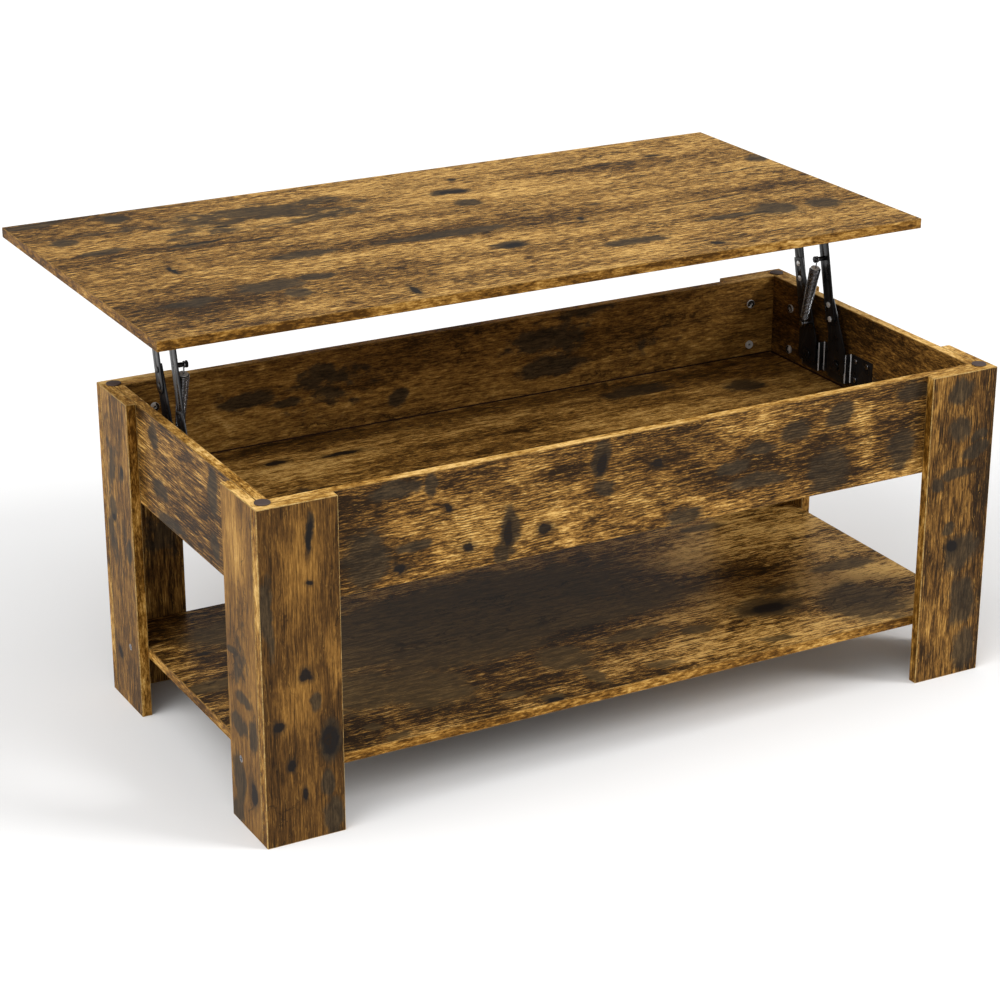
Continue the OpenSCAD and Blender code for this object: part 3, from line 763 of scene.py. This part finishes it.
def leg_bolts():
    """Hex socket bolts with rounded heads, and painted shade in their sockets: the faces inside a
    socket are dark for the shade in the recess.
    """
    mesh = cleaned("leg_bolts")
    for bolt in islands(mesh):
        low, high = (Vector([pick(v.co[k] for v in bolt) for k in range(3)])
                     for pick in (min, max))
        middle, size = (low + high) / 2, high - low
        axis = max(range(3), key=lambda k: size[k])
        for face in {f for v in bolt for f in v.link_faces}:
            away = face.calc_center_median() - middle
            away[axis] = 0
            if away.length < SOCKET_REACH:
                face.material_index = 1
    rounded(mesh, sharp_edges(mesh, BOLT_ANGLE), BOLT_ROUND)
    piece = new_piece("leg_bolts_detail", mesh, "base", [ZINC, SOCKET_PAINTED_SHADE], slot_of("leg_bolts"),
                      SMOOTH_ANGLE)
    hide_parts("leg_bolts")


# ---------- materials in use ----------


def edge_bands(name, seed, light, contrast):
    """Edge bands that run along x, y and z."""
    return [edge_band(f"{name}_band_{axis_name}", axis, seed * (axis + 1), light, contrast)
            for axis, axis_name in enumerate("xyz")]


# The gold bands are lighter partly as painted light: they go on the rails and end panels, whose
# rims face up to the light, and on the legs' tops; the amber bands go on edges that face sideways.
# Each list ends with the worn line beside the bands.
GOLD_PAINTED_LIGHT_BANDS = edge_bands("gold", 3.7, 0.15, 2.5)
AMBER_BANDS = edge_bands("amber", 5.9, -0.22, 2.2)
LEG_BANDS = [*GOLD_PAINTED_LIGHT_BANDS[:2], AMBER_BANDS[2]]
LEG_BANDS.append(arris("gold_arris", (0.11, 0.055, 0.014), (0.29, 0.172, 0.052),
                       (0.48, 0.33, 0.13)))
AMBER_ARRIS = arris("amber_arris", (0.05, 0.022, 0.004), (0.16, 0.080, 0.018),
                    (0.34, 0.20, 0.060))
GOLD_PAINTED_LIGHT_BANDS.append(AMBER_ARRIS)
AMBER_BANDS.append(AMBER_ARRIS)
BLACK = powder_coat()
# painted highlight: a pale grey along the bends of the black steel, for the shine that the bends
# catch
PAINTED_FOLD_HIGHLIGHT = patchy("bright_fold", 260.0, (0.60, 0.60, 0.61), (0.88, 0.88, 0.89), (0.22, 0.38),
                     metallic=0.35, stretch=along(Z, 6.0))
WIRE_BLACK = patchy("spring_wire", 240.0, (0.14, 0.14, 0.145), (0.32, 0.32, 0.33), (0.14, 0.28),
                    metallic=1.0, bump=0.15)
NICKEL = patchy("dark_nickel", 320.0, (0.16, 0.16, 0.17), (0.32, 0.32, 0.34), (0.18, 0.32),
                metallic=1.0, bump=0.12)
ZINC = zinc_plate()
# painted shade: the dark inside of the bolts' sockets
SOCKET_PAINTED_SHADE = patchy("socket_shade", 900.0, (0.012, 0.011, 0.010), (0.05, 0.046, 0.042), (0.4, 0.6),
                metallic=0.9)
RUBBER = patchy("pad_rubber", 500.0, (0.036, 0.022, 0.018), (0.075, 0.048, 0.040), (0.5, 0.7),
                bump=0.2)
BEECH = patchy("beech", 400.0, (0.46, 0.30, 0.16), (0.68, 0.49, 0.29), (0.5, 0.65),
               stretch=along(Y, 6.0), bump=0.2)
BRASS = patchy("brass", 900.0, (0.52, 0.36, 0.13), (0.74, 0.55, 0.24), (0.25, 0.4), metallic=1.0)

# ---------- pieces ----------


def printed_board(node, material, grain, seed, bands, **look):
    """A board in a wood print of its own. Its placed marks, which are its patches, spots,
    shades and glows, are given on its face from its low corner, as the place across and up,
    the half width and the half height."""
    for kind in ("patches", "spots", "shades", "glows"):
        look[kind] = spots_on(node, *look.get(kind, ()))
    board(node, wood(material, grain, seed, **look), bands)


# The top's tone falls towards its left end: painted shade.
printed_board(
    "top_panel", "wood_top", X, 1.3, AMBER_BANDS, light=0.03, drift=(X, -0.05, -0.50, -0.21),
    length=1.7, blotchy=0.75, mottled=0.5, fine=1.5, drawn=11.0, smoke=0.15, smoke_stretch=4.5,
    knots=0.06,
    patches=(
        (0.225, 0.150, 0.055, 0.026), (0.243, 0.105, 0.020, 0.026),
        (0.300, 0.160, 0.030, 0.014), (0.100, 0.130, 0.042, 0.016), (0.085, 0.410, 0.032, 0.012),
        (0.205, 0.388, 0.036, 0.011), (0.052, 0.480, 0.020, 0.020), (0.160, 0.565, 0.024, 0.026),
        (0.030, 0.585, 0.060, 0.012), (0.385, 0.480, 0.042, 0.015), (0.660, 0.466, 0.030, 0.015),
        (0.330, 0.266, 0.050, 0.017), (0.560, 0.262, 0.110, 0.017), (0.608, 0.172, 0.030, 0.018),
        (1.050, 0.150, 0.042, 0.032), (1.130, 0.142, 0.030, 0.026), (0.960, 0.146, 0.060, 0.012),
        (0.775, 0.098, 0.055, 0.016), (1.188, 0.412, 0.020, 0.022), (0.660, 0.398, 0.022, 0.020)),
    spots=(
        (0.285, 0.452, 0.016, 0.004), (0.140, 0.278, 0.004, 0.018),
        (0.225, 0.392, 0.040, 0.003), (0.290, 0.368, 0.045, 0.002), (0.390, 0.038, 0.006, 0.020),
        (0.668, 0.462, 0.020, 0.009), (0.872, 0.032, 0.010, 0.008), (0.700, 0.530, 0.006, 0.006),
        (0.762, 0.238, 0.006, 0.007), (0.610, 0.168, 0.016, 0.008), (0.990, 0.240, 0.060, 0.002),
        (1.120, 0.362, 0.060, 0.002), (1.050, 0.506, 0.014, 0.005), (0.160, 0.372, 0.030, 0.002)),
    shades=(
        (0.080, 0.520, 0.140, 0.060), (0.550, 0.268, 0.260, 0.034),
        (0.420, 0.150, 0.080, 0.060), (0.700, 0.120, 0.120, 0.040), (0.440, 0.480, 0.200, 0.026),
        (0.900, 0.480, 0.140, 0.022), (0.120, 0.110, 0.110, 0.040), (1.120, 0.245, 0.100, 0.025)),
    glows=(
        (0.900, 0.410, 0.160, 0.040), (0.150, 0.340, 0.090, 0.022),
        (0.210, 0.040, 0.060, 0.022), (0.500, 0.540, 0.080, 0.028), (0.880, 0.310, 0.140, 0.018),
        (0.780, 0.045, 0.060, 0.022), (1.020, 0.520, 0.100, 0.022)))
# The front rail's tone falls towards its left end: painted shade.
printed_board(
    "front_rail", "wood_front_rail", X, 2.1, GOLD_PAINTED_LIGHT_BANDS, light=-0.10,
    drift=(X, -0.10, -0.50, -0.10), contrast=0.95, streaky=0.7, mottled=0.4, fine=1.05,
    drawn=10.0, smoke=0.2, smoke_stretch=1.3, knots=0.05, lines=0.7,
    patches=(
        (0.142, 0.042, 0.036, 0.044), (0.237, 0.128, 0.011, 0.024),
        (0.349, 0.045, 0.016, 0.034), (0.337, 0.014, 0.012, 0.018), (0.485, 0.118, 0.017, 0.026),
        (0.492, 0.075, 0.016, 0.012), (0.622, 0.010, 0.034, 0.013), (0.692, 0.068, 0.030, 0.013),
        (0.737, 0.088, 0.030, 0.010), (0.797, 0.102, 0.026, 0.015), (0.869, 0.116, 0.024, 0.018),
        (0.855, 0.034, 0.036, 0.036), (0.982, 0.040, 0.026, 0.032), (0.207, 0.050, 0.026, 0.011),
        (0.187, 0.132, 0.045, 0.014), (0.997, 0.128, 0.030, 0.016), (0.737, 0.040, 0.060, 0.010)),
    spots=(
        (0.189, 0.022, 0.011, 0.007), (0.259, 0.090, 0.006, 0.005),
        (0.290, 0.031, 0.008, 0.006), (0.402, 0.034, 0.012, 0.008), (0.575, 0.095, 0.008, 0.007),
        (0.489, 0.108, 0.008, 0.014), (0.347, 0.040, 0.007, 0.020)),
    shades=(
        (0.130, 0.110, 0.060, 0.040), (0.180, 0.030, 0.090, 0.030),
        (0.300, 0.125, 0.060, 0.018), (0.580, 0.110, 0.090, 0.030), (0.720, 0.060, 0.070, 0.040),
        (0.860, 0.060, 0.060, 0.060), (0.980, 0.080, 0.060, 0.070), (0.480, 0.070, 0.030, 0.020),
        (0.430, 0.110, 0.040, 0.020)),
    glows=(
        (0.270, 0.052, 0.060, 0.018), (0.540, 0.034, 0.034, 0.028),
        (0.746, 0.112, 0.018, 0.018), (0.918, 0.070, 0.016, 0.050), (0.420, 0.050, 0.040, 0.018),
        (0.200, 0.078, 0.026, 0.012)))
printed_board(
    "back_rail", "wood_back_rail", X, 4.4, GOLD_PAINTED_LIGHT_BANDS, light=-0.05, contrast=0.65, length=1.5,
    fine=0.8, drawn=8.0, smoke=0.45, smoke_stretch=2.4, knots=0.15,
    patches=(
        (0.200, 0.090, 0.045, 0.014), (0.260, 0.078, 0.028, 0.008),
        (0.440, 0.056, 0.015, 0.015), (0.700, 0.062, 0.060, 0.018)))
# The box floor's tone falls towards its left end: painted shadow of the left end panel.
printed_board(
    "box_floor", "wood_box_floor", X, 5.2, AMBER_BANDS, light=0.02,
    drift=(X, -0.05, -0.50, -0.12), contrast=0.9, length=1.5, streaky=1.2, drawn=8.0,
    smoke=0.3, smoke_stretch=3.5, knots=0.08,
    patches=((0.960, 0.370, 0.036, 0.028), (0.800, 0.430, 0.060, 0.026)),
    spots=((0.190, 0.408, 0.015, 0.008), (0.290, 0.400, 0.030, 0.005)))
floor_seam()
# The shelf's tone rises towards its right end: painted light, where light comes in under the right
# end panel.
printed_board(
    "lower_shelf", "wood_shelf", X, 6.6, AMBER_BANDS, light=-0.30, drift=(X, 0.12, 0.32, 0.50),
    contrast=1.25, streaky=1.2, mottled=0.8, fine=1.2, drawn=11.0, smoke=0.1,
    smoke_stretch=2.6, smoke_tones=PALE_SMOKE, knots=0.10, roughness=0.36,
    patches=(
        (0.480, 0.330, 0.300, 0.110), (0.620, 0.240, 0.200, 0.050),
        (0.285, 0.130, 0.070, 0.075), (0.500, 0.115, 0.040, 0.040), (0.512, 0.045, 0.015, 0.030),
        (0.630, 0.135, 0.055, 0.020), (0.850, 0.125, 0.065, 0.036), (0.030, 0.270, 0.040, 0.020),
        (0.930, 0.430, 0.040, 0.014), (0.720, 0.110, 0.030, 0.014), (0.130, 0.420, 0.080, 0.050),
        (0.380, 0.045, 0.022, 0.010), (0.425, 0.014, 0.020, 0.009), (0.610, 0.034, 0.030, 0.011),
        (0.190, 0.014, 0.018, 0.010), (0.172, 0.048, 0.012, 0.010), (0.800, 0.026, 0.026, 0.012),
        (1.040, 0.200, 0.060, 0.020), (0.190, 0.160, 0.100, 0.065), (0.240, 0.300, 0.140, 0.100),
        (0.400, 0.215, 0.150, 0.065), (0.985, 0.075, 0.070, 0.070)),
    spots=(
        (0.850, 0.120, 0.030, 0.016), (0.060, 0.370, 0.014, 0.005)),
    shades=(
        (0.930, 0.300, 0.060, 0.070), (0.850, 0.125, 0.100, 0.050),
        (0.560, 0.020, 0.120, 0.016), (0.330, 0.050, 0.200, 0.050), (0.880, 0.205, 0.060, 0.060)),
    glows=(
        (1.060, 0.370, 0.060, 0.040), (1.070, 0.150, 0.050, 0.028),
        (0.680, 0.085, 0.070, 0.020), (0.955, 0.400, 0.060, 0.030), (0.700, 0.040, 0.080, 0.016)))
printed_board(
    "left_end_panel", "wood_left_end", Y, 7.1, GOLD_PAINTED_LIGHT_BANDS, light=-0.17, contrast=0.85,
    blotchy=1.2, mottled=0.3, fine=1.25, drawn=20.0, smoke=0.15, smoke_stretch=1.4, knots=0.05,
    lines=0.3,
    patches=(
        (0.142, 0.106, 0.018, 0.032), (0.347, 0.120, 0.018, 0.020),
        (0.330, 0.046, 0.030, 0.013), (0.300, 0.010, 0.055, 0.012), (0.142, 0.030, 0.014, 0.020)))
# The right end panel is set darker as painted shade: its inner face lies in the shade of the box.
printed_board("right_end_panel", "wood_right_end", Y, 8.1, GOLD_PAINTED_LIGHT_BANDS, light=-0.22,
              contrast=0.6, smoke=0.4, smoke_stretch=1.8, knots=0.25)

# The faces, which look to the front, are set darker than the sides, which look to the left:
# painted shade, as the strongest light comes from the left.
LEG_PRINTS = {
    "front_left_leg_face": dict(light=-0.28, contrast=0.44, patches=(
        (0.069, 0.430, 0.006, 0.024), (0.075, 0.195, 0.008, 0.014), (0.092, 0.138, 0.016, 0.030),
        (0.096, 0.024, 0.016, 0.030), (0.010, 0.330, 0.010, 0.060), (0.088, 0.075, 0.010, 0.020),
    ), spots=(
        (0.069, 0.425, 0.004, 0.020), (0.067, 0.361, 0.006, 0.004), (0.063, 0.236, 0.007, 0.008),
        (0.020, 0.171, 0.008, 0.008), (0.038, 0.114, 0.006, 0.008), (0.092, 0.138, 0.012, 0.022),
        (0.056, 0.065, 0.004, 0.010),
    ), glows=(
        (0.102, 0.255, 0.010, 0.060), (0.055, 0.390, 0.030, 0.070), (0.050, 0.200, 0.030, 0.050),
    )),
    "front_left_leg_side": dict(light=-0.05, contrast=0.50, patches=(
        (0.075, 0.245, 0.026, 0.006), (0.018, 0.152, 0.014, 0.026), (0.062, 0.145, 0.030, 0.016),
        (0.072, 0.060, 0.022, 0.040), (0.050, 0.186, 0.030, 0.010), (0.076, 0.014, 0.020, 0.022),
    ), spots=(
        (0.022, 0.060, 0.010, 0.016),
    ), glows=(
        (0.055, 0.400, 0.030, 0.050),
    )),
    "front_right_leg_face": dict(light=-0.28, contrast=0.90, patches=(
        (0.050, 0.446, 0.024, 0.022), (0.052, 0.388, 0.020, 0.018), (0.086, 0.374, 0.014, 0.009),
        (0.020, 0.308, 0.013, 0.014), (0.050, 0.322, 0.034, 0.010), (0.044, 0.235, 0.012, 0.010),
        (0.064, 0.192, 0.032, 0.032), (0.080, 0.118, 0.026, 0.042), (0.084, 0.036, 0.022, 0.040),
        (0.080, 0.352, 0.026, 0.012),
    ), spots=(
        (0.048, 0.206, 0.010, 0.010),
    ), glows=(
        (0.014, 0.420, 0.010, 0.040), (0.100, 0.320, 0.010, 0.050),
    )),
    "back_left_leg_side": dict(light=-0.12, contrast=0.85, patches=(
        (0.030, 0.360, 0.011, 0.016), (0.018, 0.250, 0.010, 0.016), (0.070, 0.300, 0.016, 0.018),
    ), spots=(
        (0.030, 0.364, 0.005, 0.008), (0.068, 0.286, 0.007, 0.006), (0.074, 0.072, 0.006, 0.008),
    )),
}
PLAIN_LEG_PRINT = dict(light=-0.02, contrast=0.80)
LEG_SCATTERED = 0.4         # smoke and knots scattered about a leg's board
MARKED_LEG_SCATTERED = 0.1  # the same on one that has placed marks
LEG_SEED, SEED_PER_SIDE, SEED_PER_ROW, SEED_PER_PART = 9.3, 1.7, 3.9, 0.8
for number, side in enumerate(SIDES):
    for row, depth in enumerate(("front", "back")):
        for turned, part in enumerate(("face", "side")):
            node = f"{depth}_{side}_leg_{part}"
            seed = (LEG_SEED + SEED_PER_SIDE * number + SEED_PER_ROW * row
                    + SEED_PER_PART * turned)
            scattered = MARKED_LEG_SCATTERED if node in LEG_PRINTS else LEG_SCATTERED
            printed_board(node, "wood_" + node, Z, seed, LEG_BANDS, length=1.4, blotchy=0.9,
                          streaky=0.95, mottled=0.15, fine=0.9, drawn=20.0, smoke=scattered,
                          smoke_stretch=1.7, knots=scattered,
                          **LEG_PRINTS.get(node, PLAIN_LEG_PRINT))

STEEL = ("front_arm_strip", "front_arm_plate", "rear_arm_strip", "rear_arm_plate", "top_bracket")
for side in SIDES:
    softened(side + "_base_bracket", STEEL_ROUND, BLACK, PAINTED_FOLD_HIGHLIGHT)
    for part in STEEL:
        softened(f"{side}_{part}", STEEL_ROUND, BLACK)
    for part in ("lower_pivots", "upper_pivots", "upper_spring_pin"):
        softened(f"{side}_{part}", HEAD_ROUND, BLACK)
    for part in ("bracket_screws", "top_screws", "lower_spring_pin"):
        softened(f"{side}_{part}", HEAD_ROUND, NICKEL)
    for part in ("front_arm_rivets", "rear_arm_rivets"):
        rivets(f"{side}_{part}", side)
    spring(side)
leg_bolts()
softened("shelf_screws", HEAD_ROUND, NICKEL)
softened("rim_pads", PAD_ROUND, RUBBER)
for node, material in (("leg_inserts", BRASS), ("corner_dowels", BEECH), ("leg_dowels", BEECH),
                       ("floor_cams", ZINC), ("floor_cam_bolts", ZINC)):
    data = frame["nodes"][node].data
    data.materials.clear()
    data.materials.append(material)

# ---------- stage ----------

FLOOR_HALF = 30.0
FLOOR_TONES = (0.815, 0.825)
SKY = 0.40
LENS = 95.5                 # millimetres
VIEW_END = 200.0
AZIMUTH = -28.62            # the camera stands to the left of the table's front
ELEVATION = 21.70
DISTANCE = 3.906
AIM_OFFSET = Vector((-0.0165, -0.0235, -0.071))
SUNS = {                    # azimuth, elevation, strength and width in degrees
    "left_key": (-78, 42, 2.1, 55),
    "right_fill": (52, 31, 1.7, 20),
    "top_fill": (20, 78, 0.8, 60),
    "low_fill": (-20, 13, 0.5, 40),
}


def towards(azimuth, elevation):
    """Direction from the table to a place at an azimuth and an elevation in degrees."""
    a, e = math.radians(azimuth), math.radians(elevation)
    return Vector((math.sin(a) * math.cos(e), -math.cos(a) * math.cos(e), math.sin(e)))


def floor():
    tree = Tree("floor", 0.9)
    soft = tree.noise(tree.place, 3.0, 2.0, 0.5)
    dark, pale = ((tone,) * 3 for tone in FLOOR_TONES)
    material = tree.finish(tree.between(soft, dark, pale))
    mesh = bmesh.new()
    corners = [(-1, -1), (1, -1), (1, 1), (-1, 1)]
    mesh.faces.new([mesh.verts.new((x * FLOOR_HALF, y * FLOOR_HALF, CAD_LOW.z))
                    for x, y in corners])
    data = bpy.data.meshes.new("floor")
    mesh.to_mesh(data)
    mesh.free()
    data.materials.append(material)
    piece = bpy.data.objects.new("floor", data)
    bpy.context.scene.collection.objects.link(piece)


def sun(name, azimuth, elevation, strength, spread):
    """A broad, distant light that comes from a side of the table and a height."""
    light = bpy.data.lights.new(name, "SUN")
    light.energy = strength
    light.angle = math.radians(spread)
    lamp = bpy.data.objects.new(name, light)
    lamp.rotation_euler = towards(azimuth, elevation).to_track_quat("Z", "Y").to_euler()
    bpy.context.scene.collection.objects.link(lamp)


def sky(strength):
    world = bpy.data.worlds.new("sky")
    world.use_nodes = True
    background = world.node_tree.nodes["Background"]
    background.inputs["Color"].default_value = (1, 1, 1, 1)
    background.inputs["Strength"].default_value = strength
    bpy.context.scene.world = world


def camera():
    lens = bpy.data.cameras.new("camera")
    lens.lens = LENS
    lens.clip_end = VIEW_END
    eye = bpy.data.objects.new("camera", lens)
    aim = (CAD_LOW + CAD_HIGH) / 2 + AIM_OFFSET
    eye.location = aim + towards(AZIMUTH, ELEVATION) * DISTANCE
    eye.rotation_euler = (math.radians(90 - ELEVATION), 0, math.radians(AZIMUTH))
    bpy.context.scene.collection.objects.link(eye)
    bpy.context.scene.camera = eye


floor()
sky(SKY)
for name, values in SUNS.items():
    sun(name, *values)
camera()
bpy.context.scene.view_settings.view_transform = "Standard"
